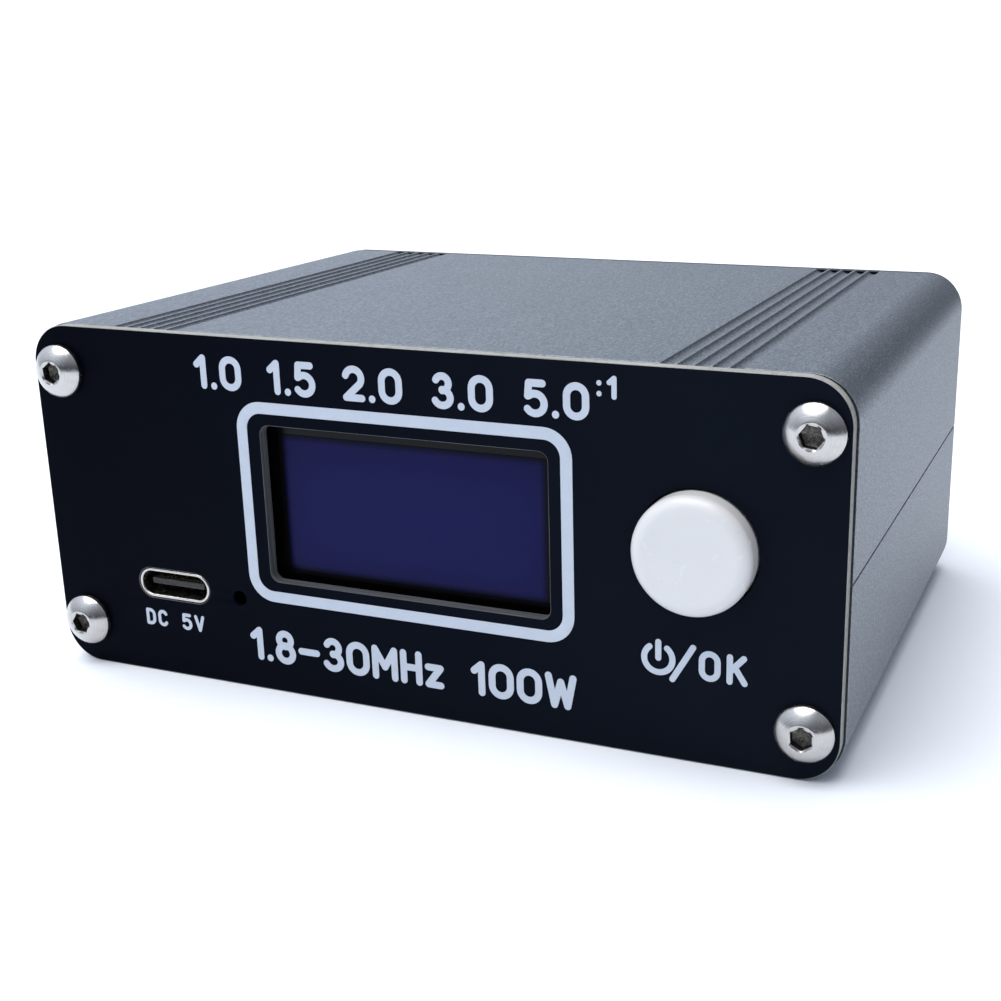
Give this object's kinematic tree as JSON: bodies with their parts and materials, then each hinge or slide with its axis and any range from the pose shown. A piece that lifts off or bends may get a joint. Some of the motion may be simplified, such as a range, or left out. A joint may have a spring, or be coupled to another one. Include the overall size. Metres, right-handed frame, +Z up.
{
  "type": "swr meter",
  "caption": "Desktop SWR and power meter for a radio transmitter: flat split aluminium case, display window and round push button in front, threaded coaxial sockets behind.",
  "frame": {"origin": "centre of the case's bottom face, which rests on the table", "axes": "+X to the right along the front panel, +Y from the front panel to the back, +Z up"},
  "size_m": [0.088, 0.0831, 0.038],
  "materials": {
    "shell_aluminium": "bead-blasted and anodised, satin",
    "panel_black": "black solder mask over glass-fibre board, satin",
    "panel_edge": "bare glass-fibre board edge, matte",
    "print_white": "white screen-printed ink, matte",
    "screw_steel": "stainless, softly polished",
    "cap_white": "moulded, semi-gloss",
    "display_glass": "dark blue display glass, unlit, satin filter",
    "black_plastic": "moulded, matte",
    "socket_nickel": "nickel plated, semi-bright",
    "socket_white": "moulded, matte",
    "display_foam": "closed-cell foam, matte",
    "ribbon_amber": "polyimide film, semi-gloss",
    "board_green": "green solder mask, satin",
    "rf_insulator": "PTFE, waxy",
    "contact_gold": "gold plated",
    "ferrite": "sintered, matte",
    "copper_wire": "enamelled copper, glossy",
    "battery_wrap": "aluminised film, satin",
    "wire_red": "soft insulation, satin",
    "wire_black": "soft insulation, satin"
  },
  "bodies": {
    "case": {"top_shell": "shell_aluminium", "bottom_shell": "shell_aluminium", "front_panel": "panel_black", "rear_panel": "panel_black", "front_screw_top_left": "screw_steel", "front_screw_top_right": "screw_steel", "front_screw_bottom_left": "screw_steel", "front_screw_bottom_right": "screw_steel", "rear_screw_top_left": "screw_steel", "rear_screw_top_right": "screw_steel", "rear_screw_bottom_left": "screw_steel", "rear_screw_bottom_right": "screw_steel", "display_glass": "display_glass", "display_pad": "display_foam", "display_ribbon": "ribbon_amber", "display_board": "board_green", "board_header": "black_plastic", "switch_housing": "black_plastic", "switch_dome": "screw_steel", "main_board": "board_green", "socket_shell": "socket_nickel", "socket_tongue": "black_plastic", "charge_light": "socket_white", "controller_chip": "black_plastic", "battery_cell": "battery_wrap", "battery_socket": "socket_white", "battery_lead_red": "wire_red", "battery_lead_black": "wire_black", "line_ferrite_ring": "ferrite", "line_winding": "copper_wire", "sense_ferrite_ring": "ferrite", "sense_winding": "copper_wire", "line_conductor": "copper_wire", "sense_link": "copper_wire", "rf_left_body": "socket_nickel", "rf_left_insulator": "rf_insulator", "rf_left_contact": "contact_gold", "rf_left_screw_1": "screw_steel", "rf_left_nut_1": "screw_steel", "rf_left_screw_2": "screw_steel", "rf_left_nut_2": "screw_steel", "rf_left_screw_3": "screw_steel", "rf_left_nut_3": "screw_steel", "rf_left_screw_4": "screw_steel", "rf_left_nut_4": "screw_steel", "rf_right_body": "socket_nickel", "rf_right_insulator": "rf_insulator", "rf_right_contact": "contact_gold", "rf_right_screw_1": "screw_steel", "rf_right_nut_1": "screw_steel", "rf_right_screw_2": "screw_steel", "rf_right_nut_2": "screw_steel", "rf_right_screw_3": "screw_steel", "rf_right_nut_3": "screw_steel", "rf_right_screw_4": "screw_steel", "rf_right_nut_4": "screw_steel"},
    "button": {"button_cap": "cap_white", "switch_plunger": "black_plastic"}
  },
  "joints": [
    {"name": "button_press", "type": "slide", "parent": "case", "child": "button", "axis": [0, 1, 0], "range_m": [0, 0.0003], "stiffness_N_per_m": 1600, "springref_m": -0.0012}
  ]
}
